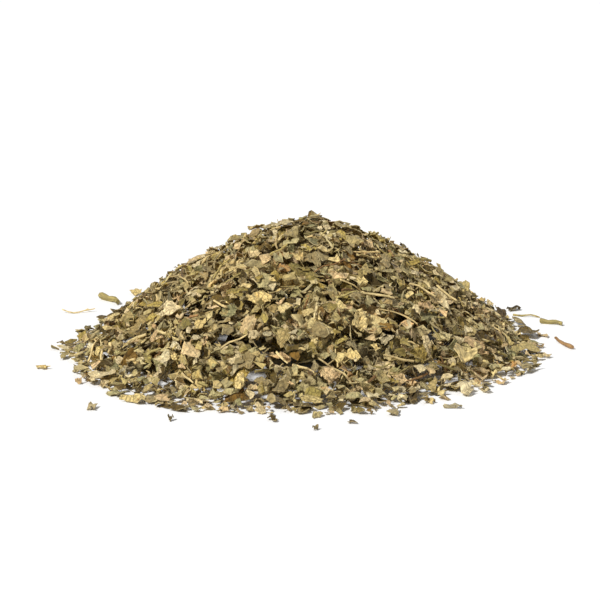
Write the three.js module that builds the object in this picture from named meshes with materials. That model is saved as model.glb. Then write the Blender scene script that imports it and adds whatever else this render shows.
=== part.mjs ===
// Dried bramble leaf, cut for tea and poured out in a heap on a flat surface.
// The heap is one solid, and the bits that lie apart round its foot are each a solid of their own.
// Millimetres, +Z up. The origin is the centre of the heap's underside.

import * as THREE from "three";

// Driving dimensions.
const HEAP_RADIUS = 56; // mean radius of the foot
const HEAP_HEIGHT = 32; // of the smooth mound, before its lumps
const MOUND_POWER = 1.5; // 1 is a straight cone, 2 a dome
const APEX_SHIFT = 3; // the top stands a little to the right of the middle
const CUT_LENGTH = 5; // what the cutter is set to
const BLADE_THICKNESS = 0.35; // a dry blade with the cockle of its veins
const STALK_RADIUS = 0.45;

const HEAP_RINGS = 20;
const HEAP_SECTORS = 68; // a multiple of 4, so that the ruffle closes at the seam
const LUMP_HEIGHT = 0.7;
const RUFFLE = 0.5; // how far single corners of the mound stand in or out
const SMOOTH_RINGS = 3; // the corners crowd together at the top, so they stay level there

const BLADE_CORNERS = 9;
const CORNER_SWING = 0.2; // radians: how far a corner stands to the side of its even place
const CORNER_REACH = [0.86, 1.08]; // how far out a corner stands, as a share of the oval
const CURL_SKEW = 0.35; // the share of a blade's curl that runs across it
const BLADE_CURLS = [0.2, 0.8]; // how far a blade's ends rise
const UNDERSIDE_UP = 0.4; // the share of blades that lie with their underside up
const STALK_SIDES = 8;
const STALK_STEPS = 6;
const STALK_LENGTHS = [4, 8.5];
const STALK_BOWS = [0.3, 0.9]; // how far a stalk stands off the straight line
const FOOT_CLEARANCE = 0.9; // least gap between the heap's foot and a loose bit
const BIT_CLEARANCE = 0.6; // least gap between two loose bits
const SCATTER_DEPTH = 8; // the loose bits thin out over this distance
const BIT_ROOM = 1.1; // what a bit takes up in plan, as a share of its length
const SEARCH_PLACES = 200; // how many places are tried for a bit
const SEARCH_STEP = 0.06; // radians between them

const TURN = 2 * Math.PI;

const upperLeaf = new THREE.MeshStandardMaterial({ color: 0x7d7448, roughness: 0.9, metalness: 0 });
const underLeaf = new THREE.MeshStandardMaterial({ color: 0xb3a878, roughness: 0.95, metalness: 0 });
const stalkSkin = new THREE.MeshStandardMaterial({ color: 0xa8925c, roughness: 0.8, metalness: 0 });

// A repeatable number from 0 to 1 for each pair of whole numbers.
function chance(index, channel) {
  const x = Math.sin(index * 127.1 + channel * 311.7) * 43758.5453;
  return x - Math.floor(x);
}

function between(low, high, index, channel) {
  return low + (high - low) * chance(index, channel);
}

// The foot is round with shallow lobes, because the leaf slides down in tongues.
function footRadius(angle) {
  const lobes =
    0.022 * Math.sin(2 * angle + 0.6) + 0.02 * Math.sin(3 * angle + 2.1) + 0.014 * Math.sin(7 * angle + 4.0);
  return HEAP_RADIUS * (1 + lobes);
}

// Broad lumps on the flanks.
function lump(x, y) {
  return (
    LUMP_HEIGHT *
    (Math.sin(x * 0.19 + 1.3) * Math.cos(y * 0.17 - 0.4) + 0.6 * Math.sin(x * 0.37 - y * 0.29 + 2.0))
  );
}

// The mound: a profile turned round the axis, then given its lobes, lumps and ruffled corners.
function heapGeometry() {
  const flank = Array.from({ length: HEAP_RINGS }, (_, i) => {
    const share = 1 - i / HEAP_RINGS; // 1 at the foot
    return new THREE.Vector2(share, 1 - share ** MOUND_POWER);
  });
  const profile = [new THREE.Vector2(0, 0), ...flank, new THREE.Vector2(0, 1)];
  const geometry = new THREE.LatheGeometry(profile, HEAP_SECTORS);
  const place = geometry.attributes.position;
  const point = new THREE.Vector3();
  for (let i = 0; i < place.count; i += 1) {
    point.fromBufferAttribute(place, i);
    const share = Math.hypot(point.x, point.z);
    const angle = Math.atan2(-point.z, point.x);
    const radius = share * footRadius(angle);
    const height = point.y;
    const sector = THREE.MathUtils.euclideanModulo(Math.round((angle / TURN) * HEAP_SECTORS), HEAP_SECTORS);
    const ring = Math.round(share * HEAP_RINGS);
    const standOut = ring > SMOOTH_RINGS ? RUFFLE * (2 * chance(sector, ring) - 1) : 0;
    const x = radius * Math.cos(angle) + APEX_SHIFT * height;
    const y = radius * Math.sin(angle);
    const rise = height > 0 ? HEAP_HEIGHT * height + (lump(x, y) + standOut) * Math.min(1, 4 * height) : 0;
    place.setXYZ(i, x, rise, -y);
  }
  geometry.rotateX(Math.PI / 2);
  return geometry;
}

// A cut piece of blade, lying on the surface: a ragged outline, as thick as the cockled blade, and curled along its
// length.
function bladeGeometry(index, length, width, curl) {
  const outline = Array.from({ length: BLADE_CORNERS }, (_, i) => {
    const angle = (i / BLADE_CORNERS) * TURN + between(-CORNER_SWING, CORNER_SWING, index, 10 + i);
    const reach = between(...CORNER_REACH, index, 30 + i);
    return new THREE.Vector2(0.5 * length * reach * Math.cos(angle), 0.5 * width * reach * Math.sin(angle));
  });
  const geometry = new THREE.ExtrudeGeometry(new THREE.Shape(outline), {
    depth: BLADE_THICKNESS,
    bevelEnabled: false,
  });
  const place = geometry.attributes.position;
  for (let i = 0; i < place.count; i += 1) {
    const along = place.getX(i) / (0.5 * length);
    const across = place.getY(i) / (0.5 * width);
    place.setZ(i, place.getZ(i) + curl * along * (along + CURL_SKEW * across));
  }
  return settled(geometry);
}

// A bit of leaf stalk, lying on the surface with a slight bow.
function stalkGeometry(length, bow) {
  const line = new THREE.CatmullRomCurve3([
    new THREE.Vector3(-length / 2, 0, 0),
    new THREE.Vector3(-length / 6, bow, 0),
    new THREE.Vector3(length / 5, 0.8 * bow, 0),
    new THREE.Vector3(length / 2, -0.3 * bow, 0),
  ]);
  const section = new THREE.Shape().absarc(0, 0, STALK_RADIUS, 0, TURN, false);
  const geometry = new THREE.ExtrudeGeometry(section, {
    extrudePath: line,
    steps: STALK_STEPS,
    curveSegments: STALK_SIDES,
    bevelEnabled: false,
  });
  return settled(geometry);
}

// Moves a shape down or up until its lowest point is at the surface.
function settled(geometry) {
  geometry.computeBoundingBox();
  return geometry.translate(0, 0, -geometry.boundingBox.min.z);
}

function numbered(name, index) {
  return `${name}_${String(index + 1).padStart(2, "0")}`;
}

function nodeMesh(name, geometry, material) {
  const mesh = new THREE.Mesh(geometry, material);
  mesh.name = name;
  return mesh;
}

// The bits that lie in front and at the sides, each by its direction in degrees anticlockwise from +X, its gap from the
// foot, its length and its width.
const OUTLIERS = [
  { direction: 182, gap: 1.9, length: 4.0, width: 1.8 },
  { direction: 197, gap: 5.5, length: 4.0, width: 2.6 },
  { direction: 211, gap: 3.2, length: 1.8, width: 1.4 },
  { direction: 227, gap: 10, length: 3.6, width: 2.2 },
  { direction: 244, gap: 8.5, length: 1.6, width: 1.3 },
  { direction: 264, gap: 4.2, length: 3.6, width: 2.0 },
  { direction: 274, gap: 1.4, length: 4.2, width: 2.8 },
  { direction: 273, gap: 12, length: 1.7, width: 1.4 },
  { direction: 281, gap: 7, length: 3.0, width: 2.2 },
  { direction: 286, gap: 2.4, length: 1.8, width: 1.5 },
  { direction: 291, gap: 1.7, length: 5.0, width: 3.6 },
  { direction: 305, gap: 5, length: 5.0, width: 2.6 },
  { direction: 319, gap: 1, length: 4.0, width: 3.0 },
  { direction: 343, gap: 1, length: 1.7, width: 1.4 },
  { direction: 351, gap: 1.2, length: 3.4, width: 1.7 },
  { direction: 9, gap: 1.5, length: 6.0, width: 2.2 },
];
const BACK_FROM = 25; // degrees: the rest lie scattered round the back
const BACK_TO = 150;
const SCATTERED_BLADES = 18;
const SCATTERED_STALKS = 6;

// Where loose bits already lie, as circles.
const taken = [];

// The place nearest to an angle where a bit of that length lies clear of the others, trying both sides in turn.
function freePlace(angle, gap, length) {
  const reach = 0.5 * BIT_ROOM * length;
  for (let place = 0; place < SEARCH_PLACES; place += 1) {
    const side = place % 2 === 0 ? 1 : -1;
    const direction = angle + side * SEARCH_STEP * Math.ceil(place / 2);
    const distance = footRadius(direction) + gap + reach;
    const spot = { x: distance * Math.cos(direction), y: distance * Math.sin(direction), reach };
    const clear = taken.every(
      (other) => Math.hypot(other.x - spot.x, other.y - spot.y) > other.reach + spot.reach + BIT_CLEARANCE,
    );
    if (clear) {
      taken.push(spot);
      return spot;
    }
  }
  throw new Error("there is no room for another loose bit");
}

function laid(mesh, spot, spin) {
  mesh.position.set(spot.x, spot.y, 0);
  mesh.rotation.z = spin;
  return mesh;
}

function looseBlades() {
  const scattered = Array.from({ length: SCATTERED_BLADES }, (_, i) => ({
    direction: between(BACK_FROM, BACK_TO, i, 12),
    gap: FOOT_CLEARANCE + SCATTER_DEPTH * chance(i, 1) ** 3,
    length: CUT_LENGTH * between(0.35, 1.15, i, 2),
    width: CUT_LENGTH * between(0.3, 0.7, i, 3),
  }));
  return [...OUTLIERS, ...scattered].map((bit, i) => {
    const width = Math.min(bit.width, bit.length);
    const spot = freePlace(THREE.MathUtils.degToRad(bit.direction), bit.gap, bit.length);
    const geometry = bladeGeometry(i, bit.length, width, between(...BLADE_CURLS, i, 4));
    const material = chance(i, 5) < UNDERSIDE_UP ? underLeaf : upperLeaf;
    return laid(nodeMesh(numbered("loose_blade", i), geometry, material), spot, TURN * chance(i, 6));
  });
}

function looseStalks() {
  return Array.from({ length: SCATTERED_STALKS }, (_, i) => {
    const length = between(...STALK_LENGTHS, i, 7);
    const direction = THREE.MathUtils.degToRad(between(BACK_FROM, BACK_TO, i, 13));
    const spot = freePlace(direction, FOOT_CLEARANCE + SCATTER_DEPTH * chance(i, 8) ** 2, length);
    const geometry = stalkGeometry(length, between(...STALK_BOWS, i, 9));
    return laid(nodeMesh(numbered("loose_stalk", i), geometry, stalkSkin), spot, TURN * chance(i, 11));
  });
}

const brambleLeaf = new THREE.Group();
brambleLeaf.name = "bramble_leaf_heap";
brambleLeaf.add(nodeMesh("leaf_heap", heapGeometry(), upperLeaf));
brambleLeaf.add(...looseBlades());
brambleLeaf.add(...looseStalks());

export default brambleLeaf;
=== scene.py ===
"""Dried bramble leaf, cut for tea and poured out in a heap.

A dry leaflet is modelled and chopped into bits, and the bits are let fall one by one until they fill the mound of
the fixed frame. Lengths are in metres unless a name says mm.
"""

import logging
import math
from dataclasses import dataclass, field
from enum import Enum

import bpy
import numpy as np
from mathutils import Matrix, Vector
from mathutils.bvhtree import BVHTree


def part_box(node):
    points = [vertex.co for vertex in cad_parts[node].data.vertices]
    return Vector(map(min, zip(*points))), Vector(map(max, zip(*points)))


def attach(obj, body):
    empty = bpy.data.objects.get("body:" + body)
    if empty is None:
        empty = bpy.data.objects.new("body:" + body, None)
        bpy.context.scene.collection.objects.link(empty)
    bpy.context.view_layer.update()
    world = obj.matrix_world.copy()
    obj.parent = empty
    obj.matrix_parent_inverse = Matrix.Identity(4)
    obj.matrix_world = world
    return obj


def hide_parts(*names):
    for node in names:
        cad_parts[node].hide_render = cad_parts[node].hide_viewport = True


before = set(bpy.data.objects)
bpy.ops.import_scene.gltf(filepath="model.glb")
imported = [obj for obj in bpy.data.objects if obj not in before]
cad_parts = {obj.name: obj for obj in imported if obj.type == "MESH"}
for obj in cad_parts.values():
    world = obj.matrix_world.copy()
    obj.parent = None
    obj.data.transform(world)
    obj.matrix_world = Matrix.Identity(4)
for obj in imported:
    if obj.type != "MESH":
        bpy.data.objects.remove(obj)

LOG = logging.getLogger("bramble_leaf")
MM = 0.001
TURN = 2 * math.pi
BAKE_MAP = "OFBake"
HEAP_NODE = "leaf_heap"
MARK_RANGE = 500.0  # sets the finishes' patterns on different bits apart
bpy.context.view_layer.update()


class Side(Enum):
    """The two faces of a leaf blade, as the value that the finish reads."""

    UPPER = 0.0
    UNDER = 1.0


class Kind(Enum):
    """What a bit is."""

    LARGE = "large blade"
    SMALL = "small blade"
    CRUMB = "crumb"
    STALK = "stalk"


def linear(red: float, green: float, blue: float) -> np.ndarray:
    """Turn a display colour into the linear colour that shaders use.

    Args:
        red: Red, from 0 to 255.
        green: Green, from 0 to 255.
        blue: Blue, from 0 to 255.

    Returns:
        The linear colour, three numbers from 0 to 1.
    """
    shown = np.array([red, green, blue]) / 255
    return np.where(shown <= 0.04045, shown / 12.92, ((shown + 0.055) / 1.055) ** 2.4)


@dataclass(frozen=True)
class Tint:
    """A colour that dry bits of leaf have, and how common it is."""

    name: str
    colour: tuple[float, float, float]
    share: float


@dataclass(frozen=True)
class Palette:
    """The colours of one kind of bit."""

    tints: tuple[Tint, ...]
    lightness_spread: float = 0.31
    lightness_limits: tuple[float, float] = (0.5, 1.35)
    lightest: float = 0.8
    warmth_spread: float = 0.03

    def draw(self, rng: np.random.Generator) -> np.ndarray:
        """Draw a colour for one bit, with a little variation of its own.

        Args:
            rng: The source of chance.

        Returns:
            A linear colour.
        """
        shares = np.array([tint.share for tint in self.tints])
        chosen = self.tints[rng.choice(len(self.tints), p=shares / shares.sum())]
        warmth = rng.normal(0.0, self.warmth_spread)
        drift = np.array([1 + warmth, 1.0, 1 - 1.5 * warmth])
        lightness = np.clip(rng.normal(1.0, self.lightness_spread), *self.lightness_limits)
        colour = linear(*chosen.colour) * lightness * drift
        return colour * min(1.0, self.lightest / colour.max())


BLADE_PALETTE = Palette(
    (
        Tint("olive", (162, 141, 72), 0.22),
        Tint("sage", (156, 147, 98), 0.14),
        Tint("khaki", (212, 188, 124), 0.21),
        Tint("tan", (218, 184, 132), 0.09),
        Tint("dark olive", (92, 73, 24), 0.19),
        Tint("straw", (248, 226, 174), 0.12),
        Tint("rust", (182, 138, 78), 0.01),
        Tint("brown", (126, 94, 38), 0.05),
    )
)
STALK_PALETTE = Palette(
    (
        Tint("straw", (220, 196, 138), 0.62),
        Tint("green", (172, 154, 94), 0.28),
        Tint("red brown", (144, 110, 70), 0.10),
    )
)


class Shades:
    """Adds shader nodes to a material's tree and links them."""

    def __init__(self, material: bpy.types.Material) -> None:
        """Start from an empty tree with an output and a Principled shader."""
        material.use_nodes = True
        self.tree = material.node_tree
        self.tree.nodes.clear()
        self.output = self.tree.nodes.new("ShaderNodeOutputMaterial")
        self.shader = self.tree.nodes.new("ShaderNodeBsdfPrincipled")
        self.tree.links.new(self.shader.outputs[0], self.output.inputs["Surface"])

    def fill(self, socket: bpy.types.NodeSocket, value: object) -> None:
        """Link a socket to another, or give it a number or a linear colour."""
        if isinstance(value, bpy.types.NodeSocket):
            self.tree.links.new(value, socket)
        elif isinstance(value, (float, int)):
            socket.default_value = value
        else:
            socket.default_value = (*[float(v) for v in value], 1.0)

    def attribute(self, name: str) -> bpy.types.Node:
        """Add a node that reads a mesh attribute."""
        node = self.tree.nodes.new("ShaderNodeAttribute")
        node.attribute_name = name
        return node

    def math(self, operation: str, *values: object) -> bpy.types.NodeSocket:
        """Add a Math node.

        Args:
            operation: Its operation.
            values: Sockets or numbers for its inputs, in order.

        Returns:
            The node's value socket.
        """
        node = self.tree.nodes.new("ShaderNodeMath")
        node.operation = operation
        for socket, value in zip(node.inputs, values):
            self.fill(socket, value)
        return node.outputs[0]

    def span(
        self, value: bpy.types.NodeSocket, given: tuple[float, float], wanted: tuple[float, float]
    ) -> bpy.types.NodeSocket:
        """Map a value smoothly from one range to another.

        Args:
            value: The value.
            given: Where its range starts and ends.
            wanted: What it becomes at those ends.

        Returns:
            The mapped value's socket.
        """
        node = self.tree.nodes.new("ShaderNodeMapRange")
        node.interpolation_type = "SMOOTHSTEP"
        names = ("Value", "From Min", "From Max", "To Min", "To Max")
        for name, number in zip(names, (value, *given, *wanted)):
            self.fill(node.inputs[name], number)
        return node.outputs["Result"]

    def noise(self, place: bpy.types.NodeSocket, scale: float, detail: float) -> bpy.types.NodeSocket:
        """Add a noise pattern.

        Args:
            place: The coordinates that it follows, in mm.
            scale: Its scale, in waves to the mm.
            detail: How many finer octaves it has.

        Returns:
            The pattern's factor socket.
        """
        node = self.tree.nodes.new("ShaderNodeTexNoise")
        for name, value in (("Vector", place), ("Scale", scale), ("Detail", detail), ("Roughness", 0.62)):
            self.fill(node.inputs[name], value)
        return node.outputs[0]

    def net(self, place: bpy.types.NodeSocket, scale: float) -> bpy.types.NodeSocket:
        """Add the distance from the lines of a net of small cells, as fine veins make."""
        node = self.tree.nodes.new("ShaderNodeTexVoronoi")
        node.feature = "DISTANCE_TO_EDGE"
        self.fill(node.inputs["Scale"], scale)
        self.fill(node.inputs["Vector"], place)
        return node.outputs["Distance"]

    def mix(self, amount: object, first: object, second: object, blend: str = "MIX") -> bpy.types.NodeSocket:
        """Mix two colours.

        Args:
            amount: How much of the second, a socket or a number.
            first: A socket or a linear colour.
            second: A socket or a linear colour.
            blend: The blend mode.

        Returns:
            The mixed colour's socket.
        """
        node = self.tree.nodes.new("ShaderNodeMix")
        node.data_type = "RGBA"
        node.blend_type = blend
        for index, value in ((0, amount), (6, first), (7, second)):
            self.fill(node.inputs[index], value)
        return node.outputs[2]

    def grey(self, value: bpy.types.NodeSocket, low: float, high: float) -> bpy.types.NodeSocket:
        """Turn a noise factor into a grey that goes from low to high over the middle of its range."""
        level = self.span(value, (0.3, 0.7), (low, high))
        joined = self.tree.nodes.new("ShaderNodeCombineXYZ")
        for socket in joined.inputs:
            self.fill(socket, level)
        return joined.outputs[0]

    def bump(self, height: bpy.types.NodeSocket, distance: float) -> None:
        """Give the shader a bump of that height, in metres."""
        node = self.tree.nodes.new("ShaderNodeBump")
        self.fill(node.inputs["Distance"], distance)
        self.fill(node.inputs["Height"], height)
        self.fill(self.shader.inputs["Normal"], node.outputs[0])


@dataclass(frozen=True)
class BladeFinish:
    """The skin of a dry blade: a mottled upper side with sunken veins, and a felted underside with raised ones."""

    name: str = "dry_blade"
    vein_spacing_mm: float = 6.2
    vein_slant: float = 0.85
    net_scale: float = 0.85
    relief_mm: float = 0.16
    felt: tuple[float, float, float] = (212, 192, 140)
    blotch: tuple[float, float, float] = (196, 162, 100)
    dull: tuple[float, float, float] = (78, 61, 25)
    # vein is also the colour of the painted highlight along each bit's rim.
    vein: tuple[float, float, float] = (214, 194, 140)
    # The colour of the painted shade in the sunken lines of the fine net.
    shaded_net: tuple[float, float, float] = (72, 59, 26)

    def side_veins(self, shades: Shades, place: bpy.types.NodeSocket) -> bpy.types.NodeSocket:
        """Draw the midrib and the straight veins that leave it.

        Args:
            shades: The tree to add to.
            place: The place on the leaflet, in mm.

        Returns:
            A mask that is 1 on a vein.
        """
        apart = shades.tree.nodes.new("ShaderNodeSeparateXYZ")
        shades.fill(apart.inputs[0], place)
        outwards = shades.math("ABSOLUTE", apart.outputs["Y"])
        slanted = shades.math("MULTIPLY_ADD", outwards, -self.vein_slant, apart.outputs["X"])
        cycle = shades.math("FRACT", shades.math("DIVIDE", slanted, self.vein_spacing_mm))
        from_vein = shades.math("ABSOLUTE", shades.math("SUBTRACT", cycle, 0.5))
        lateral = shades.span(from_vein, (0.0, 0.05), (1.0, 0.0))
        midrib = shades.span(outwards, (0.3, 0.55), (1.0, 0.0))
        return shades.math("MAXIMUM", lateral, midrib)

    def colour(
        self, shades: Shades, side: bpy.types.NodeSocket, mottle: bpy.types.NodeSocket, grain: bpy.types.NodeSocket
    ) -> bpy.types.NodeSocket:
        """Colour the blade before its veins are drawn, with a painted highlight along its rim.

        Args:
            shades: The tree to add to.
            side: 0 on the upper side, 1 on the underside.
            mottle: A coarse noise.
            grain: A fine noise.

        Returns:
            The colour's socket.
        """
        own = shades.attribute("leaf_colour").outputs["Color"]
        felted = shades.mix(shades.math("MULTIPLY", side, 0.36), own, linear(*self.felt))
        blotched = shades.mix(shades.span(mottle, (0.54, 0.7), (0.0, 0.5)), felted, linear(*self.blotch))
        dulled = shades.mix(shades.span(mottle, (0.30, 0.47), (0.65, 0.0)), blotched, linear(*self.dull))
        grained = shades.mix(0.85, dulled, shades.grey(grain, 0.55, 1.4), "MULTIPLY")
        # Painted highlight: the rim faces between the two sides are lightened towards the pale vein colour, as if
        # light caught them, whatever the lamps do.
        from_middle = shades.math("ABSOLUTE", shades.math("MULTIPLY_ADD", side, 2.0, -1.0))
        painted_rim_highlight = shades.span(from_middle, (0.3, 0.98), (0.55, 0.0))
        return shades.mix(painted_rim_highlight, grained, linear(*self.vein))

    def material(self) -> bpy.types.Material:
        """Make the material.

        Returns:
            The material, which reads leaf_place, leaf_colour and leaf_side.
        """
        made = bpy.data.materials.new(self.name)
        shades = Shades(made)
        place = shades.attribute("leaf_place").outputs["Vector"]
        side = shades.attribute("leaf_side").outputs["Fac"]
        mottle = shades.noise(place, 0.5, 4.0)
        grain = shades.noise(place, 1.7, 4.0)
        veins = self.side_veins(shades, place)
        net = shades.span(shades.net(place, self.net_scale), (0.0, 0.12), (1.0, 0.0))
        bare = self.colour(shades, side, mottle, grain)
        pale_vein = shades.math("MULTIPLY", veins, shades.math("MULTIPLY_ADD", side, 0.4, 0.3))
        veined = shades.mix(pale_vein, bare, linear(*self.vein))
        # Painted shade: the sunken lines of the fine net are darkened, more on the upper side than on the underside.
        painted_net_shade = shades.math("MULTIPLY", net, shades.math("MULTIPLY_ADD", side, -0.25, 0.45))
        shades.fill(shades.shader.inputs["Base Color"], shades.mix(painted_net_shade, veined, linear(*self.shaded_net)))
        fine = shades.math("MULTIPLY_ADD", net, -0.5, shades.math("MULTIPLY", grain, 1.2))
        raised = shades.math("MULTIPLY_ADD", veins, shades.math("MULTIPLY_ADD", side, 1.6, -0.8), fine)
        shades.bump(raised, self.relief_mm * MM)
        shades.fill(shades.shader.inputs["Roughness"], shades.span(mottle, (0.3, 0.7), (0.7, 0.95)))
        shades.fill(shades.shader.inputs["Specular IOR Level"], 0.3)
        shades.fill(shades.shader.inputs["Sheen Weight"], 0.1)
        return made


@dataclass(frozen=True)
class StalkFinish:
    """The skin of a dry leaf stalk or rib: straw to red brown, ribbed along its length."""

    name: str = "dry_stalk"
    rib_scale: float = 1.6
    relief_mm: float = 0.12
    scar: tuple[float, float, float] = (108, 76, 46)

    def material(self) -> bpy.types.Material:
        """Make the material.

        Returns:
            The material, which reads leaf_place and leaf_colour.
        """
        made = bpy.data.materials.new(self.name)
        shades = Shades(made)
        place = shades.attribute("leaf_place").outputs["Vector"]
        own = shades.attribute("leaf_colour").outputs["Color"]
        drawn_out = shades.tree.nodes.new("ShaderNodeMapping")
        drawn_out.inputs["Scale"].default_value = (0.25, 2.6, 2.6)
        shades.fill(drawn_out.inputs["Vector"], place)
        fibre = shades.noise(drawn_out.outputs[0], self.rib_scale, 4.0)
        fibrous = shades.mix(0.8, own, shades.grey(fibre, 0.6, 1.35), "MULTIPLY")
        scars = shades.span(shades.noise(place, 0.7, 2.0), (0.58, 0.7), (0.0, 0.6))
        shades.fill(shades.shader.inputs["Base Color"], shades.mix(scars, fibrous, linear(*self.scar)))
        shades.bump(fibre, self.relief_mm * MM)
        shades.fill(shades.shader.inputs["Roughness"], shades.span(fibre, (0.3, 0.7), (0.6, 0.85)))
        shades.fill(shades.shader.inputs["Specular IOR Level"], 0.3)
        return made


def take_hold(piece: bpy.types.Object) -> None:
    """Select one object alone and make it active."""
    bpy.ops.object.select_all(action="DESELECT")
    piece.select_set(True)
    bpy.context.view_layer.objects.active = piece


def places_of(mesh: bpy.types.Mesh) -> np.ndarray:
    """Read a mesh's vertices as rows of three numbers."""
    found = np.empty(len(mesh.vertices) * 3)
    mesh.vertices.foreach_get("co", found)
    return found.reshape(-1, 3)


@dataclass
class Faces:
    """The faces of a mesh: the vertex at each corner, and each face's first corner."""

    corners: np.ndarray
    starts: np.ndarray

    @classmethod
    def of(cls, mesh: bpy.types.Mesh) -> "Faces":
        """Read a mesh's faces."""
        corners = np.empty(len(mesh.loops), np.int64)
        mesh.loops.foreach_get("vertex_index", corners)
        starts = np.empty(len(mesh.polygons), np.int64)
        mesh.polygons.foreach_get("loop_start", starts)
        return cls(corners, starts)

    @property
    def sizes(self) -> np.ndarray:
        """The number of corners of each face."""
        return np.diff(np.append(self.starts, len(self.corners)))

    def triangles(self, wanted: np.ndarray) -> np.ndarray:
        """Split some faces into triangles.

        Args:
            wanted: Whether each face is wanted.

        Returns:
            The triangles' vertices.
        """
        found = []
        for start, size in zip(self.starts[wanted], self.sizes[wanted]):
            ring = self.corners[start : start + size]
            found += [(ring[0], ring[k], ring[k + 1]) for k in range(1, size - 1)]
        return np.array(found)

    def closed(self) -> bool:
        """Tell whether every edge joins exactly two faces that run the same way round."""
        edges = set()
        for start, size in zip(self.starts, self.sizes):
            ring = self.corners[start : start + size]
            edges |= {(int(ring[k - 1]), int(ring[k])) for k in range(size)}
        return len(edges) == len(self.corners) and all((b, a) in edges for a, b in edges)

    def reversed_order(self) -> np.ndarray:
        """Give the order of corners that turns every face round."""
        starts = np.repeat(self.starts, self.sizes)
        last = np.repeat(self.starts + self.sizes - 1, self.sizes)
        return last - (np.arange(len(self.corners)) - starts)


@dataclass
class Pattern:
    """One modelled bit, in mm, ready to be copied."""

    kind: Kind
    points: np.ndarray
    faces: Faces
    side: np.ndarray
    leaf: np.ndarray
    bake: np.ndarray
    resting: np.ndarray
    half_thickness: float
    sample_step: float = 0.38
    sample_corners: np.ndarray = field(init=False)
    sample_weights: np.ndarray = field(init=False)

    def __post_init__(self) -> None:
        """Spread sample points over the resting faces, so that they follow when a copy is curled."""
        corners, weights = [], []
        for triangle in self.faces.triangles(self.resting):
            a, b, c = self.points[triangle]
            longest = max(np.linalg.norm(a - b), np.linalg.norm(b - c), np.linalg.norm(c - a))
            steps = max(1, math.ceil(longest / self.sample_step))
            for i in range(steps + 1):
                for j in range(steps + 1 - i):
                    corners.append(triangle)
                    weights.append((i / steps, j / steps, (steps - i - j) / steps))
        self.sample_corners = np.array(corners)
        self.sample_weights = np.array(weights)[:, :, None]


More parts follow.
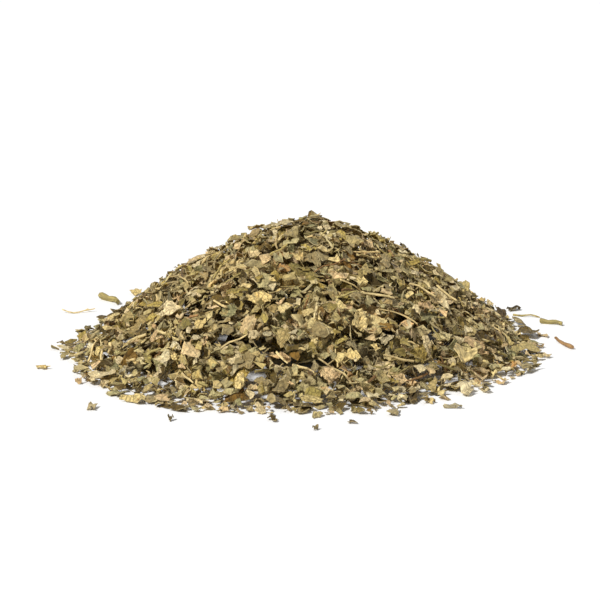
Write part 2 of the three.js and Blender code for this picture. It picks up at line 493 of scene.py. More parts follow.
@dataclass
class DriedLeaflet:
    """A dry bramble leaflet, and the bits that a cutter makes of it."""

    kind: Kind = Kind.SMALL
    length_mm: float = 66.0
    half_width_mm: float = 23.0
    thickness_mm: float = 0.15
    rows: int = 62
    columns: int = 44
    tooth_mm: float = 0.8
    pucker_mm: float = 0.42
    cockle_mm: float = 0.6
    cut_mm: tuple[float, float] = (2.3, 6.0)
    smallest_mm: float = 1.8
    merge_mm: float = 0.4
    ragged_mm: float = 0.28
    corner_loss: float = 0.3
    break_share: float = 0.3
    break_reach: tuple[float, float] = (0.08, 0.3)
    most_ragged_mm: float = 0.3
    fold: float = 0.12
    seed: int = 3
    finish: BladeFinish = field(default_factory=BladeFinish)

    def width_at(self, along: np.ndarray) -> np.ndarray:
        """Give the blade's half width, in mm, where along goes from 0 at the stalk to 1 at the tip."""
        return self.half_width_mm * np.sin(math.pi * along**0.8) ** 0.8 + 0.2

    def relief(self, x: np.ndarray, y: np.ndarray) -> np.ndarray:
        """Give the height of the dry blade: puckered between its side veins, and cockled all over.

        Args:
            x: Places along the midrib, in mm.
            y: Places across it, in mm.

        Returns:
            Heights, in mm.
        """
        cycle = (x - self.finish.vein_slant * np.abs(y)) / self.finish.vein_spacing_mm
        pucker = -self.pucker_mm * np.cos(TURN * (cycle - 0.5))
        cockle = np.sin(1.9 * x + 1.1 * np.sin(1.3 * y)) * np.sin(1.6 * y + 0.9 * np.sin(1.1 * x + 2.0))
        return pucker + self.cockle_mm * cockle + self.fold * np.abs(y)

    def blade(self) -> bpy.types.Object:
        """Model the whole leaflet as a thin sheet with a toothed margin.

        Returns:
            The sheet, with the midrib along X.
        """
        bpy.ops.object.select_all(action="DESELECT")
        bpy.ops.mesh.primitive_grid_add(x_subdivisions=self.rows, y_subdivisions=self.columns, size=1.0)
        sheet = bpy.context.active_object
        flat = places_of(sheet.data)
        along = np.clip(flat[:, 0] + 0.5, 0, 1)
        at_margin = np.abs(np.abs(flat[:, 1]) - 0.5) < 1e-4
        tooth = self.tooth_mm * (np.round(along * self.rows).astype(int) % 2) * at_margin
        x = self.length_mm * along
        y = 2 * flat[:, 1] * self.width_at(along) + np.sign(flat[:, 1]) * tooth
        shaped = np.stack([x, y, self.relief(x, y)], axis=1) * MM
        sheet.data.vertices.foreach_set("co", shaped.ravel())
        sheet.data.update()
        return sheet

    def knife_strokes(
        self, low: float, high: float, rng: np.random.Generator, swing: float
    ) -> list[tuple[float, float]]:
        """Lay out a knife's strokes along a line.

        Args:
            low: Where the line starts, in mm.
            high: Where it ends.
            rng: The source of chance.
            swing: How far a stroke may turn, in radians.

        Returns:
            Each stroke's place in mm and its turn.
        """
        strokes = []
        at = low + rng.uniform(*self.cut_mm)
        while at < high - 0.4 * self.cut_mm[0]:
            strokes.append((at, rng.uniform(-swing, swing)))
            at += rng.uniform(*self.cut_mm)
        return strokes

    def cut_up(self, sheet: bpy.types.Object, planes: list[tuple[Vector, Vector]]) -> list[bpy.types.Object]:
        """Cut a sheet along planes and part the pieces.

        Args:
            sheet: The sheet.
            planes: Each cut's point and normal.

        Returns:
            The pieces.
        """
        take_hold(sheet)
        bpy.ops.object.mode_set(mode="EDIT")
        for point, normal in planes:
            bpy.ops.mesh.select_all(action="SELECT")
            bpy.ops.mesh.bisect(plane_co=point, plane_no=normal)
            bpy.ops.mesh.edge_split(type="EDGE")
        bpy.ops.mesh.select_all(action="SELECT")
        bpy.ops.mesh.separate(type="LOOSE")
        bpy.ops.object.mode_set(mode="OBJECT")
        return list(bpy.context.selected_objects)

    def bits(self, rng: np.random.Generator) -> list[bpy.types.Object]:
        """Chop the leaflet, first across and then each strip along.

        Args:
            rng: The source of chance.

        Returns:
            The bits, still lying where they were in the leaflet.
        """
        across = [
            (Vector((at * MM, 0, 0)), Vector((math.cos(turn), math.sin(turn), 0)))
            for at, turn in self.knife_strokes(0, self.length_mm, rng, 0.2)
        ]
        found = []
        for strip in sorted(self.cut_up(self.blade(), across), key=lambda s: places_of(s.data)[:, 0].mean()):
            place = places_of(strip.data)
            middle = place[:, 0].mean()
            along = [
                (Vector((middle, at * MM, 0)), Vector((-math.sin(turn), math.cos(turn), 0)))
                for at, turn in self.knife_strokes(place[:, 1].min() / MM, place[:, 1].max() / MM, rng, 0.42)
            ]
            found += self.cut_up(strip, along)
        return sorted(found, key=lambda b: tuple(places_of(b.data).mean(0)))

    def tear(self, bit: bpy.types.Object, rng: np.random.Generator) -> None:
        """Break a side off some bits, knock all their corners back and make their edges ragged.

        Args:
            bit: The bit, a thin sheet.
            rng: The source of chance.
        """
        whole = places_of(bit.data)
        breaks = rng.random() < self.break_share
        heading = rng.uniform(0, TURN)
        outwards = Vector((math.cos(heading), math.sin(heading), 0))
        reach = rng.uniform(*self.break_reach) * float(np.ptp(whole[:, :2], axis=0).max())
        take_hold(bit)
        bpy.ops.object.mode_set(mode="EDIT")
        bpy.ops.mesh.select_all(action="SELECT")
        if breaks:
            at = Vector(whole.mean(0)) + outwards * reach
            bpy.ops.mesh.bisect(plane_co=at, plane_no=outwards, clear_outer=True)
            bpy.ops.mesh.select_all(action="SELECT")
        bpy.ops.mesh.remove_doubles(threshold=self.merge_mm * MM)
        bpy.ops.object.mode_set(mode="OBJECT")
        uses: dict[tuple[int, int], int] = {}
        for face in bit.data.polygons:
            for edge in face.edge_keys:
                uses[edge] = uses.get(edge, 0) + 1
        outer = np.array(sorted({v for edge, count in uses.items() if count == 1 for v in edge}), int)
        if len(outer) == 0:
            return
        place = places_of(bit.data)
        middle = place[:, :2].mean(0)
        arm = place[outer, :2] - middle
        reach = np.linalg.norm(arm, axis=1)
        usual = np.median(reach)
        kept = np.where(reach > usual, usual + (1 - self.corner_loss) * (reach - usual), reach)
        most = self.most_ragged_mm
        shift = np.clip(rng.normal(0, self.ragged_mm, (len(outer), 2)), -most, most) * MM
        place[outer, :2] = middle + arm * (kept / np.maximum(reach, 1e-9))[:, None] + shift
        bit.data.vertices.foreach_set("co", place.ravel())
        bit.data.update()

    def bake_places(self, points: np.ndarray, faces: Faces, sheet_faces: int, under: np.ndarray) -> np.ndarray:
        """Lay a bit's faces out in a cell twice as wide as high: upper side on the left, underside on the right.

        Args:
            points: The vertices.
            faces: The faces.
            sheet_faces: How many faces the sheet had before it was thickened.
            under: Whether each vertex is on the underside.

        Returns:
            A place in the cell for each corner, from 0 to 1 each way.
        """
        plan = points[:, :2]
        low, high = plan.min(0), plan.max(0)
        size = max(float((high - low).max()), 1e-3)
        spot = 0.5 + 0.8 * (plan - 0.5 * (low + high))[faces.corners] / size
        rim = np.repeat(np.arange(len(faces.starts)) >= 2 * sheet_faces, faces.sizes)
        corner_under = under[faces.corners]
        outwards = spot - 0.5
        outwards /= np.maximum(np.linalg.norm(outwards, axis=1, keepdims=True), 1e-6)
        spot += outwards * np.where(rim & corner_under, 0.06, 0.0)[:, None]
        right_half = corner_under & ~rim
        return np.stack([0.5 * spot[:, 0] + 0.5 * right_half, spot[:, 1]], axis=1)

    def pattern(self, bit: bpy.types.Object) -> Pattern:
        """Give a bit its thickness and read it. The bit is used up.

        Args:
            bit: The bit, a thin sheet.

        Returns:
            The pattern, centred.
        """
        take_hold(bit)
        sheet_points, sheet_faces = len(bit.data.vertices), len(bit.data.polygons)
        thick = bit.modifiers.new("blade", "SOLIDIFY")
        thick.thickness = self.thickness_mm * MM
        thick.offset = 0
        bpy.ops.object.modifier_apply(modifier=thick.name)
        points = places_of(bit.data) / MM
        faces = Faces.of(bit.data)
        bpy.data.objects.remove(bit)
        first_is_upper = points[:sheet_points, 2].mean() > points[sheet_points:, 2].mean()
        under = (np.arange(len(points)) >= sheet_points) == first_is_upper
        side = np.where(under, Side.UNDER.value, Side.UPPER.value)
        leaf = points[:, :2].copy()
        points = points - np.append(0.5 * (leaf.max(0) + leaf.min(0)), points[:, 2].mean())
        bake = self.bake_places(points, faces, sheet_faces, under)
        resting = np.arange(len(faces.starts)) < sheet_faces
        return Pattern(self.kind, points, faces, side, leaf, bake, resting, 0.5 * self.thickness_mm)

    def patterns(self) -> list[Pattern]:
        """Chop the leaflet and read its sound bits.

        Returns:
            The bits' patterns.
        """
        rng = np.random.default_rng(self.seed)
        made = []
        for bit in self.bits(rng):
            self.tear(bit, rng)
            extent = np.ptp(places_of(bit.data)[:, :2], axis=0) / MM if len(bit.data.polygons) else np.zeros(2)
            if extent.max() < self.smallest_mm or extent.min() < 0.4 * self.smallest_mm:
                bpy.data.objects.remove(bit)
                continue
            pattern = self.pattern(bit)
            if pattern.faces.closed():
                made.append(pattern)
        return made


@dataclass
class StalkBits:
    """Short lengths of leaf stalk and rib, some with the small hooked prickles that bramble has."""

    lengths_mm: tuple[float, ...] = (3.4, 5.2, 6.8, 8.4, 11.5, 4.4, 7.4, 9.6)
    radii_mm: tuple[float, ...] = (0.36, 0.3, 0.24, 0.34, 0.2, 0.4, 0.17, 0.22)
    sides: int = 6
    rings: int = 6
    taper: float = 0.18
    knobs: float = 0.1
    groove: float = 0.28
    bow: float = 0.08
    wave: float = 0.02
    prickle_every: int = 3
    seed: int = 11

    def rod(self, length: float, radius: float, rng: np.random.Generator) -> bpy.types.Object:
        """Model one bit of stalk: a bowed, tapering, grooved rod with slanting cuts.

        Args:
            length: Its length, in mm.
            radius: Its radius, in mm.
            rng: The source of chance.

        Returns:
            The rod, along X.
        """
        bpy.ops.object.select_all(action="DESELECT")
        bpy.ops.mesh.primitive_cylinder_add(
            vertices=self.sides, radius=radius * MM, depth=length * MM, rotation=(0, math.pi / 2, 0)
        )
        rod = bpy.context.active_object
        bpy.ops.object.transform_apply(location=False, rotation=True, scale=False)
        bpy.ops.object.mode_set(mode="EDIT")
        for step in range(1, self.rings):
            bpy.ops.mesh.select_all(action="SELECT")
            at = length * (step / self.rings - 0.5) * MM
            bpy.ops.mesh.bisect(plane_co=(at, 0, 0), plane_no=(1, 0, 0))
        bpy.ops.object.mode_set(mode="OBJECT")
        place = places_of(rod.data)
        along = place[:, 0] / (0.5 * length * MM)
        swell = (1 - self.taper * along) * (1 + self.knobs * np.sin(7 * along + rng.uniform(0, TURN)))
        groove = 1 - self.groove * np.clip(place[:, 2] / (radius * MM), 0, 1)
        place[:, 1] *= swell
        place[:, 2] *= swell * groove
        place[:, 0] += np.where(np.abs(along) > 0.999, 0.6 * place[:, 1] * rng.uniform(-1, 1), 0)
        bow, sway = rng.normal(0, self.bow, 2) * length * MM
        place[:, 1] += bow * (1 - along**2) + self.wave * length * MM * np.sin(5 * along)
        place[:, 2] += sway * (1 - along**2) * 0.6 + self.wave * length * MM * np.sin(4 * along)
        rod.data.vertices.foreach_set("co", place.ravel())
        rod.data.update()
        return rod

    def prickle(self, rod: bpy.types.Object, rng: np.random.Generator) -> None:
        """Draw one side face of a rod out into a short hooked prickle.

        Args:
            rod: The rod.
            rng: The source of chance.
        """
        reach = 0.3 * rod.dimensions.x
        faces = [f.index for f in rod.data.polygons if abs(f.normal.x) < 0.3 and abs(f.center.x) < reach]
        chosen = int(rng.choice(faces))
        outwards = rod.data.polygons[chosen].normal.copy()
        take_hold(rod)
        bpy.ops.object.mode_set(mode="EDIT")
        bpy.ops.mesh.select_mode(type="FACE")
        bpy.ops.mesh.select_all(action="DESELECT")
        bpy.ops.object.mode_set(mode="OBJECT")
        rod.data.polygons[chosen].select = True
        bpy.ops.object.mode_set(mode="EDIT")
        for rise, keep in ((0.16, 0.5), (0.2, 0.3)):
            step = outwards * rise * MM + Vector((0.14 * MM, 0, 0))
            bpy.ops.mesh.extrude_region_move(TRANSFORM_OT_translate={"value": step})
            bpy.ops.transform.resize(value=(keep, keep, keep))
        bpy.ops.object.mode_set(mode="OBJECT")

    def pattern(self, rod: bpy.types.Object) -> Pattern:
        """Read a rod. The rod is used up.

        Args:
            rod: The rod.

        Returns:
            The pattern.
        """
        points = places_of(rod.data) / MM
        faces = Faces.of(rod.data)
        resting = np.array([f.normal.z < 0.2 for f in rod.data.polygons])
        bpy.data.objects.remove(rod)
        around = np.arctan2(points[:, 2], points[:, 1]) / TURN + 0.5
        along = 0.05 + 0.9 * (points[:, 0] - points[:, 0].min()) / np.ptp(points[:, 0])
        turn = around[faces.corners]
        first = np.repeat(turn[faces.starts], faces.sizes)
        turn = np.where(turn - first > 0.5, turn - 1, np.where(first - turn > 0.5, turn + 1, turn))
        bake = np.stack([along[faces.corners], np.clip(0.15 + 0.7 * turn, 0.02, 0.98)], axis=1)
        side = np.full(len(points), Side.UPPER.value)
        return Pattern(Kind.STALK, points, faces, side, points[:, :2].copy(), bake, resting, 0.02)

    def patterns(self) -> list[Pattern]:
        """Model the rods and read them.

        Returns:
            The patterns.
        """
        rng = np.random.default_rng(self.seed)
        made = []
        for number, (length, radius) in enumerate(zip(self.lengths_mm, self.radii_mm)):
            rod = self.rod(length, radius, rng)
            if number % self.prickle_every == 0:
                self.prickle(rod, rng)
            made.append(self.pattern(rod))
        return made


def turned(spin: float, tilt: float, towards: float) -> np.ndarray:
    """Give the rotation that spins about Z and then tilts.

    Args:
        spin: The turn about Z, in radians.
        tilt: The tilt, in radians.
        towards: The direction in plan that it tilts towards, in radians.

    Returns:
        A rotation matrix.
    """
    cs, sn = math.cos(spin), math.sin(spin)
    about_z = np.array([[cs, -sn, 0], [sn, cs, 0], [0, 0, 1]])
    ax, ay = -math.sin(towards), math.cos(towards)
    c, s = math.cos(tilt), math.sin(tilt)
    k = 1 - c
    rows = [[c + ax * ax * k, ax * ay * k, ay * s], [ax * ay * k, c + ay * ay * k, -ax * s], [-ay * s, ax * s, c]]
    return np.array(rows) @ about_z


@dataclass
class Shape:
    """How one copy of a pattern is drawn out, twisted and curled."""

    stretch: np.ndarray
    curl: float = 0.0
    curl_direction: float = 0.0
    twist: float = 0.0

    def of(self, points: np.ndarray) -> np.ndarray:
        """Shape points, in mm."""
        p = points * self.stretch
        cs, sn = math.cos(self.curl_direction), math.sin(self.curl_direction)
        x = cs * p[:, 0] + sn * p[:, 1]
        y = -sn * p[:, 0] + cs * p[:, 1]
        z = p[:, 2] + self.twist * x * y
        if abs(self.curl) > 1e-4:
            radius = 1 / self.curl
            x, z = (radius - z) * np.sin(self.curl * x), radius - (radius - z) * np.cos(self.curl * x)
        return np.stack([cs * x - sn * y, sn * x + cs * y, z], axis=1)


@dataclass
class Bit:
    """One copy of a pattern where it came to rest."""

    pattern: Pattern
    points: np.ndarray
    mirrored: bool
    colour: np.ndarray
    mark: float

    def order(self) -> np.ndarray:
        """Give the order of the corners, which is turned round where the bit is mirrored."""
        faces = self.pattern.faces
        return faces.reversed_order() if self.mirrored else np.arange(len(faces.corners))


@dataclass(frozen=True)
class Layer:
    """How one layer of the heap is poured. The shares are of the kinds, in the order that Kind gives."""

    name: str
    stop_below_mm: float
    shares: tuple[float, float, float, float]
    spins: int
    lean: float
    steep_share: float
    proud_mm: float


@dataclass
class Pile:
    """The heap as it grows: a height field, and the bits that lie on it.

    The bedding is the range of the share of the ground's tilt that a bit takes.
    """

    target: np.ndarray
    ceiling: float
    half_span: float
    cell: float
    rng: np.random.Generator
    bedding: tuple[float, float] = (0.3, 1.0)
    steep_lean: tuple[float, float] = (0.6, 1.25)
    proud_spread_mm: float = 0.35
    unevenness_mm: float = 0.5
    bits: list[Bit] = field(default_factory=list)
    ground: np.ndarray = field(init=False)

    def __post_init__(self) -> None:
        """Start from the bare surface."""
        self.ground = np.zeros_like(self.target)

    def cells(self, x: np.ndarray, y: np.ndarray) -> tuple[np.ndarray, np.ndarray]:
        """Find the cells that hold places, in mm."""
        top = len(self.target) - 1
        column = np.clip(((x + self.half_span) / self.cell).astype(int), 0, top)
        row = np.clip(((y + self.half_span) / self.cell).astype(int), 0, top)
        return column, row

    def block(self, box: np.ndarray) -> None:
        """Keep the height of something that already lies there.

        Args:
            box: Its lowest and highest corner, in mm.
        """
        column, row = self.cells(box[:, 0], box[:, 1])
        spot = (slice(column[0], column[1] + 1), slice(row[0], row[1] + 1))
        self.ground[spot] = np.maximum(self.ground[spot], box[1, 2])

    def neediest(self, tries: int, reach: float, sunk: float) -> tuple[float, float, float]:
        """Find a place where the heap still lacks height.

        Args:
            tries: How many places to look at.
            reach: How far from the origin to look, in mm.
            sunk: How far under the mound's surface to stop, in mm.

        Returns:
            The place, and what it lacks.
        """
        x, y = self.rng.uniform(-reach, reach, (2, tries))
        where = self.cells(x, y)
        lack = self.target[where] - sunk - self.ground[where]
        best = int(np.argmax(lack + self.rng.uniform(0, self.unevenness_mm, tries)))
        return float(x[best]), float(y[best]), float(lack[best])

    def height_near(self, x: float, y: float, reach: int = 3) -> float:
        """Give the mean height of the ground round a place."""
        column, row = self.cells(np.array([x]), np.array([y]))
        c, r = int(column[0]), int(row[0])
        return float(self.ground[max(c - reach, 0) : c + reach + 1, max(r - reach, 0) : r + reach + 1].mean())

    def slope(self, x: float, y: float, reach: float = 2.5) -> tuple[float, float]:
        """Give the tilt of the ground near a place and the direction that it falls in, in radians."""
        east, west = self.height_near(x + reach, y), self.height_near(x - reach, y)
        north, south = self.height_near(x, y + reach), self.height_near(x, y - reach)
        rise_x, rise_y = (east - west) / (2 * reach), (north - south) / (2 * reach)
        return math.atan(math.hypot(rise_x, rise_y)), math.atan2(-rise_y, -rise_x)

    def drop(
        self, pattern: Pattern, shape: Shape, spot: tuple[float, float], layer: Layer, colour: np.ndarray
    ) -> bool:
        """Let a bit fall, and keep the way of lying in which it nestles best.

        Args:
            pattern: The bit's pattern.
            shape: Its own shape.
            spot: Where it falls, in mm.
            layer: How this layer is poured.
            colour: Its colour.

        Returns:
            Whether it stayed. A bit that would stand too far out of the mound does not.
        """
        rng = self.rng
        shaped = shape.of(pattern.points)
        samples = (shaped[pattern.sample_corners] * pattern.sample_weights).sum(1)
        tilt, downhill = self.slope(*spot)
        bed = turned(0, tilt * rng.uniform(*self.bedding), downhill)
        steep = rng.uniform(*self.steep_lean) if rng.random() < layer.steep_share else None
        lean = abs(rng.normal(0, layer.lean)) if steep is None else steep
        proud = layer.proud_mm + rng.exponential(self.proud_spread_mm)
        best = None
        for _ in range(layer.spins):
            flip = math.pi * rng.integers(2)
            way = bed @ turned(rng.uniform(0, TURN), flip + lean, rng.uniform(0, TURN))
            lying = samples @ way.T
            where = self.cells(lying[:, 0] + spot[0], lying[:, 1] + spot[1])
            under = self.ground[where]
            rest = float((under - lying[:, 2]).max())
            over = float((lying[:, 2] + rest - self.target[where]).max()) - proud
            over = max(over, float(lying[:, 2].max()) + rest - self.ceiling)
            score = float((lying[:, 2] + rest - under).mean()) + max(0.0, over)
            if best is None or score < best[0]:
                best = (score, over, way, rest, where, lying[:, 2])
        _, over, way, rest, where, heights = best
        if over > 0:
            return False
        rest += pattern.half_thickness
        np.maximum.at(self.ground, where, heights + rest + pattern.half_thickness)
        placed = shaped @ way.T + np.array([*spot, rest])
        placed[:, 2] -= min(0.0, float(placed[:, 2].min()))
        mirrored = bool(np.prod(shape.stretch) < 0)
        self.bits.append(Bit(pattern, placed, mirrored, colour, float(rng.uniform(0, MARK_RANGE))))
        return True


@dataclass
class Pouring:
    """Pours the heap: picks bits of all sizes and lets them fall until they fill the frame's mound."""

    cell_mm: float = 0.4
    half_span_mm: float = 74.0
    reach_mm: float = 60.0
    sink_mm: float = 1.1
    headroom_mm: float = 0.5
    level_mm: float = 0.4
    looks: int = 30
    patience: int = 25
    most_tries: int = 60000
    fringe_bits: int = 900
    fringe_mm: float = 3.0
    fringe_below_mm: float = 2.0
    seed: int = 20
    top_above_mm: float = 0.5
    stalk_stretch: tuple[float, float] = (0.75, 1.15)
    size_spread: float = 0.22
    size_limits: tuple[float, float] = (0.6, 1.45)
    drawn_out: tuple[float, float] = (0.65, 1.35)
    cockled: tuple[float, float] = (0.7, 1.5)
    curls: tuple[float, ...] = (0.14, 0.34, 0.7)
    curl_shares: tuple[float, ...] = (0.35, 0.42, 0.23)
    slight: float = 0.03
    bed_bits: int = 900
    bed_below_mm: float = 3.5
    bed: Layer = Layer("bed", 0.0, (0.0, 0.72, 0.28, 0.0), 4, 0.1, 0.0, 1.4)
    core: Layer = Layer("core", 5.0, (0.62, 0.28, 0.0, 0.10), 2, 0.3, 0.1, 0.0)
    shell: Layer = Layer("shell", 0.0, (0.22, 0.52, 0.18, 0.08), 5, 0.5, 0.32, 1.5)
    cover_bits: int = 300
    cover: Layer = Layer("cover", 0.0, (1.0, 0.0, 0.0, 0.0), 6, 0.25, 0.0, 2.4)
    dusting_bits: int = 300
    dusting: Layer = Layer("dusting", 0.0, (0.0, 0.50, 0.34, 0.16), 4, 0.4, 0.2, 2.2)
    fringe: Layer = Layer("fringe", 0.0, (0.0, 0.38, 0.57, 0.05), 4, 0.2, 0.05, 1.2)

    def mound(self) -> np.ndarray:
        """Measure the frame's mound.

        Returns:
            The height to fill to in each cell, in mm.
        """
        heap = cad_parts[HEAP_NODE]
        faces = Faces.of(heap.data)
        triangles = faces.triangles(np.ones(len(faces.starts), bool)).tolist()
        tree = BVHTree.FromPolygons([tuple(p) for p in places_of(heap.data)], triangles)
        coarse = np.arange(-self.half_span_mm, self.half_span_mm + 1.0, 1.0)
        heights = np.zeros((len(coarse), len(coarse)))
        for i, x in enumerate(coarse):
            for j, y in enumerate(coarse):
                hit = tree.ray_cast(Vector((x * MM, y * MM, 1.0)), Vector((0, 0, -1)))[0]
                heights[i, j] = hit.z / MM if hit else 0.0
        count = int(2 * self.half_span_mm / self.cell_mm)
        fine = -self.half_span_mm + self.cell_mm * (np.arange(count) + 0.5)
        rows = np.array([np.interp(fine, coarse, row) for row in heights])
        return np.maximum(np.array([np.interp(fine, coarse, column) for column in rows.T]).T - self.sink_mm, 0)

    def shape(self, kind: Kind, rng: np.random.Generator) -> Shape:
        """Draw how a bit is drawn out and curled.

        Args:
            kind: What the bit is.
            rng: The source of chance.

        Returns:
            Its shape.
        """
        mirror = np.array([rng.choice([-1.0, 1.0]), 1.0, 1.0])
        if kind is Kind.STALK:
            return Shape(mirror * rng.uniform(*self.stalk_stretch), float(rng.normal(0, self.slight)))
        size = float(np.clip(np.exp(rng.normal(0.0, self.size_spread)), *self.size_limits))
        ranges = (self.drawn_out, self.drawn_out, self.cockled)
        stretch = mirror * size * np.array([rng.uniform(*given) for given in ranges])
        tight = rng.choice(self.curls, p=self.curl_shares) / (2.0 if kind is Kind.LARGE else 1.0)
        curl, direction = float(rng.normal(0, tight)), float(rng.uniform(0, math.pi))
        return Shape(stretch, curl, direction, float(rng.normal(0, self.slight)))

    def one_bit(
        self, pile: Pile, store: dict[Kind, list[Pattern]], layer: Layer, spot: tuple[float, float]
    ) -> bool:
        """Draw a bit and let it fall.

        Args:
            pile: The pile.
            store: The patterns of each kind.
            layer: How this layer is poured.
            spot: Where the bit falls, in mm.

        Returns:
            Whether it stayed.
        """
        rng = pile.rng
        kind = list(Kind)[rng.choice(len(Kind), p=layer.shares)]
        pattern = store[kind][int(rng.integers(len(store[kind])))]
        palette = STALK_PALETTE if kind is Kind.STALK else BLADE_PALETTE
        return pile.drop(pattern, self.shape(kind, rng), spot, layer, palette.draw(rng))

    def pour_layer(self, pile: Pile, store: dict[Kind, list[Pattern]], layer: Layer) -> None:
        """Let bits fall until no place lacks height.

        Args:
            pile: The pile.
            store: The patterns of each kind.
            layer: How this layer is poured.
        """
        full = 0
        for _ in range(self.most_tries):
            x, y, lack = pile.neediest(self.looks, self.reach_mm, layer.stop_below_mm)
            if lack < self.level_mm:
                full += 1
                if full > self.patience:
                    break
                continue
            self.one_bit(pile, store, layer, (x, y))
        LOG.info("after the %s the heap holds %d bits", layer.name, len(pile.bits))

    def foot_edge(self, pile: Pile, below: float) -> np.ndarray:
        """Mark the cells along the edge of the foot, some of them just outside it.

        Args:
            pile: The pile.
            below: How high the mound may be there, in mm.

        Returns:
            Whether each cell is marked.
        """
        inside = pile.target > 0
        reach = round(self.fringe_mm / self.cell_mm)
        near = inside.copy()
        for dx in range(-reach, reach + 1):
            for dy in range(-reach, reach + 1):
                if math.hypot(dx, dy) <= reach:
                    near |= np.roll(inside, (dx, dy), (0, 1))
        return near & (pile.target < below)

    def strew(
        self, pile: Pile, store: dict[Kind, list[Pattern]], layer: Layer, where: np.ndarray, count: int
    ) -> None:
        """Let a number of bits fall on chance places.

        Args:
            pile: The pile.
            store: The patterns of each kind.
            layer: How this layer is poured.
            where: Whether a bit may fall in each cell.
            count: How many bits fall.
        """
        columns, rows = np.nonzero(where)
        for _ in range(count):
            chosen = int(pile.rng.integers(len(columns)))
            spot = (np.array([columns[chosen], rows[chosen]]) + 0.5) * self.cell_mm - self.half_span_mm
            self.one_bit(pile, store, layer, (float(spot[0]), float(spot[1])))
        LOG.info("after the %s the heap holds %d bits", layer.name, len(pile.bits))

    def pour(self, store: dict[Kind, list[Pattern]]) -> Pile:
        """Pour the whole heap.

        Args:
            store: The patterns of each kind.

        Returns:
            The pile.
        """
        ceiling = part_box(HEAP_NODE)[1][2] / MM + self.headroom_mm
        pile = Pile(self.mound(), ceiling, self.half_span_mm, self.cell_mm, np.random.default_rng(self.seed))
        for name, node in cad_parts.items():
            if name != HEAP_NODE:
                place = places_of(node.data) / MM
                pile.block(np.array([place.min(0), place.max(0)]))
        self.strew(pile, store, self.bed, self.foot_edge(pile, self.bed_below_mm), self.bed_bits)
        self.pour_layer(pile, store, self.core)
        self.pour_layer(pile, store, self.shell)
        on_top = pile.target > self.top_above_mm
        self.strew(pile, store, self.cover, on_top, self.cover_bits)
        self.strew(pile, store, self.dusting, on_top, self.dusting_bits)
        self.strew(pile, store, self.fringe, self.foot_edge(pile, self.fringe_below_mm), self.fringe_bits)
        LOG.info("the heap holds %d bits and is %.1f mm high", len(pile.bits), pile.ground.max())
        return pile


@dataclass
class Gatherer:
    """Turns bits at rest into pieces."""

    blade: bpy.types.Material
    stalk: bpy.types.Material
    smooth_deg: float = 50.0

    def piece(self, name: str, bits: list[Bit]) -> bpy.types.Object:
        """Copy each bit's pattern into one mesh.

        Args:
            name: The piece's name.
            bits: The bits.

        Returns:
            The piece, which rides on the heap's body.
        """
        counts = [len(bit.points) for bit in bits]
        offsets = np.concatenate([[0], np.cumsum(counts)[:-1]])
        corners = [bit.pattern.faces.corners[bit.order()] + offset for bit, offset in zip(bits, offsets)]
        sizes = np.concatenate([bit.pattern.faces.sizes for bit in bits])
        starts = np.concatenate([[0], np.cumsum(sizes)[:-1]])
        points = np.concatenate([bit.points for bit in bits]) * MM
        mesh = bpy.data.meshes.new(name)
        mesh.vertices.add(len(points))
        mesh.loops.add(int(sizes.sum()))
        mesh.polygons.add(len(starts))
        mesh.vertices.foreach_set("co", points.ravel().astype(np.float32))
        mesh.loops.foreach_set("vertex_index", np.concatenate(corners).astype(np.int32))
        mesh.polygons.foreach_set("loop_start", starts.astype(np.int32))
        mesh.update(calc_edges=True)
        self.describe(mesh, bits, counts)
        self.lay_out(mesh, bits)
        mesh.materials.append(self.stalk if bits[0].pattern.kind is Kind.STALK else self.blade)
        piece = bpy.data.objects.new(name, mesh)
        bpy.context.scene.collection.objects.link(piece)
        take_hold(piece)
        bpy.ops.object.shade_smooth_by_angle(angle=math.radians(self.smooth_deg))
        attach(piece, "root")
        return piece

    @staticmethod
    def describe(mesh: bpy.types.Mesh, bits: list[Bit], counts: list[int]) -> None:
        """Store what the finishes read.

        Args:
            mesh: The mesh.
            bits: Its bits.
            counts: How many vertices each has.
        """
        place = np.concatenate([np.column_stack([b.pattern.leaf, np.full(len(b.points), b.mark)]) for b in bits])
        colour = np.concatenate([np.tile([*b.colour, 1.0], (n, 1)) for b, n in zip(bits, counts)])
        side = np.concatenate([b.pattern.side for b in bits])
        stored = (
            ("leaf_place", "FLOAT_VECTOR", "vector", place),
            ("leaf_colour", "FLOAT_COLOR", "color", colour),
            ("leaf_side", "FLOAT", "value", side),
        )
        for name, data_type, key, values in stored:
            layer = mesh.attributes.new(name, data_type, "POINT")
            layer.data.foreach_set(key, values.ravel().astype(np.float32))

    @staticmethod
    def lay_out(mesh: bpy.types.Mesh, bits: list[Bit]) -> None:
        """Give each bit a cell of its own in the UV map kept for baking.

        Args:
            mesh: The mesh.
            bits: Its bits.
        """
        across = math.ceil(math.sqrt(len(bits) / 2))
        down = math.ceil(len(bits) / across)
        spots = [
            (bit.pattern.bake[bit.order()] + (k % across, k // across)) / (across, down) for k, bit in enumerate(bits)
        ]
        bake = mesh.uv_layers.new(name=BAKE_MAP)
        bake.data.foreach_set("uv", np.concatenate(spots).ravel().astype(np.float32))


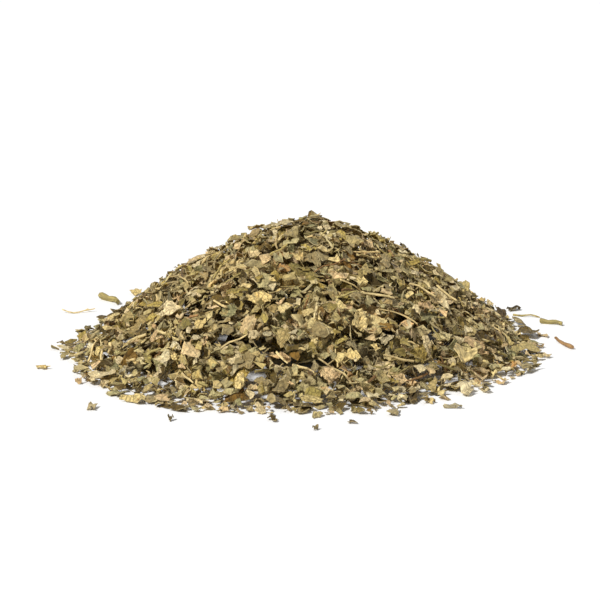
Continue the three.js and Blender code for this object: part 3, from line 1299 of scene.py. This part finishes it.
@dataclass
class LooseBits:
    """The bits that lie apart round the heap's foot, each where the frame has its solid."""

    seed: int = 5

    def fit(self, node: str, pattern: Pattern, rng: np.random.Generator) -> Bit:
        """Lay a bit where a node lies, turned and drawn out as the node is.

        Args:
            node: The frame's node.
            pattern: The bit's pattern.
            rng: The source of chance.

        Returns:
            The bit.
        """
        plan = places_of(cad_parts[node].data)[:, :2] / MM
        middle = 0.5 * (plan.min(0) + plan.max(0))
        spread = np.cov((plan - middle).T)
        turn = 0.5 * math.atan2(2 * spread[0, 1], spread[0, 0] - spread[1, 1])
        along = np.array([math.cos(turn), math.sin(turn)])
        across = np.array([-along[1], along[0]])
        size = np.array([np.ptp(plan @ along), np.ptp(plan @ across)])
        own = np.ptp(pattern.points[:, :2], axis=0)
        if pattern.kind is Kind.STALK:
            shape = Shape(np.full(3, size[0] / own[0]))
        else:
            flat = np.array([*(size / own), rng.uniform(0.6, 0.9)])
            shape = Shape(flat, float(rng.normal(0, 0.1)), float(rng.uniform(0, math.pi)), 0.01)
        flip = math.pi * rng.integers(2)
        lying = shape.of(pattern.points) @ turned(turn, flip, turn).T
        lying += np.append(middle - 0.5 * (lying[:, :2].min(0) + lying[:, :2].max(0)), -lying[:, 2].min())
        palette = STALK_PALETTE if pattern.kind is Kind.STALK else BLADE_PALETTE
        return Bit(pattern, lying, False, palette.draw(rng), float(rng.uniform(0, MARK_RANGE)))

    def build(self, gatherer: Gatherer, store: dict[Kind, list[Pattern]]) -> None:
        """Make a piece for each loose solid of the frame.

        Args:
            gatherer: What makes the pieces.
            store: The patterns of each kind.
        """
        rng = np.random.default_rng(self.seed)
        for node in sorted(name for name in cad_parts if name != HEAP_NODE):
            patterns = store[Kind.STALK if node.startswith("loose_stalk") else Kind.SMALL]
            piece = gatherer.piece(node.replace("loose", "lone"), [self.fit(node, rng.choice(patterns), rng)])
            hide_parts(node)
        LOG.info("the loose bits lie round the foot")


@dataclass
class HeapPieces:
    """Sorts the poured bits into pieces by where they lie and what they are."""

    surface_mm: float = 2.4
    middle_mm: float = 5.5
    stalk_name: str = "heap_stalks"

    def name(self, pile: Pile, bit: Bit) -> str:
        """Name the piece that a bit belongs to.

        Args:
            pile: The pile.
            bit: The bit.

        Returns:
            The name, from how deep the bit lies and on which side.
        """
        if bit.pattern.kind is Kind.STALK:
            return self.stalk_name
        x, y, z = bit.points.mean(0)
        depth = pile.height_near(x, y, 1) - z
        layer = "surface" if depth < self.surface_mm else "middle" if depth < self.middle_mm else "inner"
        sideways = "right" if x > 0 else "left"
        return f"{layer}_blades_{sideways if abs(x) > abs(y) else 'back' if y > 0 else 'front'}"

    def build(self, gatherer: Gatherer, pile: Pile) -> None:
        """Make the pieces.

        Args:
            gatherer: What makes the pieces.
            pile: The pile.
        """
        groups: dict[str, list[Bit]] = {}
        for bit in pile.bits:
            groups.setdefault(self.name(pile, bit), []).append(bit)
        for name in sorted(groups):
            piece = gatherer.piece(name, groups[name])
            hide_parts(HEAP_NODE)
            LOG.info("%s: %d bits, %d faces", name, len(groups[name]), len(piece.data.polygons))


@dataclass(frozen=True)
class Lamp:
    """A far lamp: the direction that it stands in, how wide it is as an angle, and its strength."""

    name: str
    towards: tuple[float, float, float]
    spread_deg: float
    power: float

    def hang(self) -> None:
        """Hang the lamp."""
        data = bpy.data.lights.new(self.name, "SUN")
        data.angle = math.radians(self.spread_deg)
        data.energy = self.power
        lamp = bpy.data.objects.new(self.name, data)
        lamp.rotation_euler = Vector(self.towards).to_track_quat("Z", "Y").to_euler()
        bpy.context.scene.collection.objects.link(lamp)


@dataclass
class Studio:
    """A pale floor, soft light and a camera that looks a little down on the heap."""

    elevation_deg: float = 15.3
    lens_mm: float = 170.0
    distance: float = 0.70
    aim: tuple[float, float, float] = (0.0, 0.0, 0.012)
    floor_size: float = 8.0
    floor_drop_mm: float = 0.02
    floor_colour: tuple[float, float, float] = (248, 248, 248)
    room_light: float = 0.14
    lamps: tuple[Lamp, ...] = (
        Lamp("key", (-0.5, -0.45, 0.75), 9, 3.6),
        Lamp("fill", (0.8, -0.6, 0.5), 60, 0.3),
        Lamp("back", (0.2, 0.9, 0.8), 40, 0.5),
    )

    def camera(self) -> None:
        """Place the camera."""
        data = bpy.data.cameras.new("camera")
        data.lens = self.lens_mm
        data.clip_start = 0.01
        camera = bpy.data.objects.new("camera", data)
        bpy.context.scene.collection.objects.link(camera)
        tilt = math.radians(self.elevation_deg)
        back = Vector((0, -math.cos(tilt), math.sin(tilt)))
        camera.location = Vector(self.aim) + back * self.distance
        camera.rotation_euler = (-back).to_track_quat("-Z", "Y").to_euler()
        bpy.context.scene.camera = camera

    def floor(self) -> None:
        """Lay the floor."""
        bpy.ops.object.select_all(action="DESELECT")
        bpy.ops.mesh.primitive_plane_add(size=self.floor_size, location=(0, 0, -self.floor_drop_mm * MM))
        floor = bpy.context.active_object
        floor.name = "floor"
        material = bpy.data.materials.new("floor")
        shades = Shades(material)
        shades.fill(shades.shader.inputs["Base Color"], linear(*self.floor_colour))
        shades.fill(shades.shader.inputs["Roughness"], 0.9)
        floor.data.materials.append(material)

    def light(self) -> None:
        """Set the lamps and the room's own light, which is plain white where it is seen past the floor."""
        for lamp in self.lamps:
            lamp.hang()
        world = bpy.data.worlds.new("room")
        world.use_nodes = True
        nodes, links = world.node_tree.nodes, world.node_tree.links
        nodes["Background"].inputs["Color"].default_value = (1, 1, 1, 1)
        seen = nodes.new("ShaderNodeLightPath")
        level = nodes.new("ShaderNodeMapRange")
        level.inputs["To Min"].default_value = self.room_light
        links.new(seen.outputs["Is Camera Ray"], level.inputs["Value"])
        links.new(level.outputs["Result"], nodes["Background"].inputs["Strength"])
        bpy.context.scene.world = world

    def build(self) -> None:
        """Set everything up."""
        self.camera()
        self.floor()
        self.light()
        bpy.context.scene.view_settings.view_transform = "Standard"
        LOG.info("the studio stands")


def main() -> None:
    """Build the studio, the heap and the loose bits, in that order."""
    logging.basicConfig(level=logging.INFO, format="%(message)s")
    Studio().build()
    leaflets = (
        DriedLeaflet(Kind.LARGE, rows=54, columns=38, cut_mm=(4.8, 8.8), smallest_mm=3.0, seed=7),
        DriedLeaflet(Kind.SMALL),
        DriedLeaflet(
            Kind.CRUMB, length_mm=34.0, half_width_mm=11.0, rows=24, columns=16, cut_mm=(1.1, 2.5), smallest_mm=0.9,
            seed=8,
        ),
    )
    store = {leaflet.kind: leaflet.patterns() for leaflet in leaflets}
    store[Kind.STALK] = StalkBits().patterns()
    for kind, patterns in store.items():
        faces = np.mean([len(pattern.faces.starts) for pattern in patterns])
        LOG.info("%s: %d patterns of %.0f faces", kind.value, len(patterns), faces)
    pile = Pouring().pour(store)
    gatherer = Gatherer(BladeFinish().material(), StalkFinish().material())
    HeapPieces().build(gatherer, pile)
    LooseBits().build(gatherer, store)


if __name__ == "__main__":
    main()
